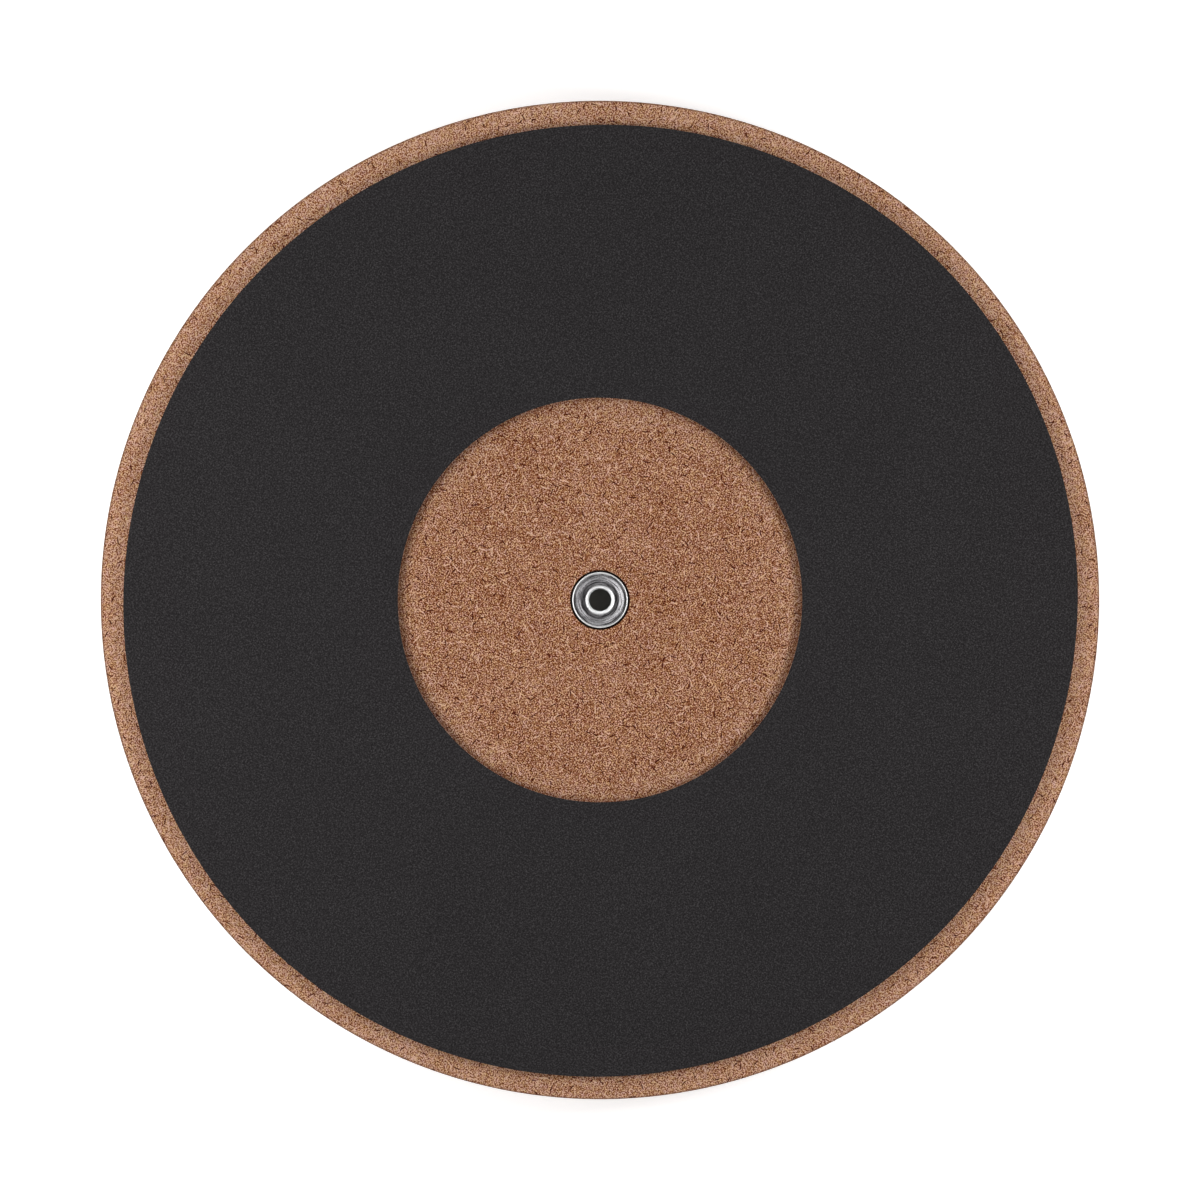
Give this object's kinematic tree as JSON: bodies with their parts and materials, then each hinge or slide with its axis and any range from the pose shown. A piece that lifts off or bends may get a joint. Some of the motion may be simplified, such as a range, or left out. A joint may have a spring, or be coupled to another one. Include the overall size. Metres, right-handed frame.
{
  "type": "drum practice pad",
  "caption": "Round drum practice pad: a fibreboard disc with a rubber playing face, a foam non-slip ring and a central threaded insert for a stand.",
  "frame": {"origin": "centre of the playing face, which the pad lies on, underside up", "axes": "+Z is the disc's axis and points out of the underside, through the foam ring and along the thread; X and Y lie in the playing face, and the part is round about Z"},
  "size_m": [0.305, 0.305, 0.0244],
  "materials": {
    "fibreboard": "matte",
    "black_foam": "matte",
    "adhesive_film": "satin",
    "grey_rubber": "matte",
    "zinc_plated_steel": "satin"
  },
  "bodies": {
    "root": {"base_board": "fibreboard", "foam_ring": "black_foam", "ring_adhesive": "adhesive_film", "playing_pad": "grey_rubber", "pad_adhesive": "adhesive_film", "threaded_insert": "zinc_plated_steel"}
  },
  "joints": []
}
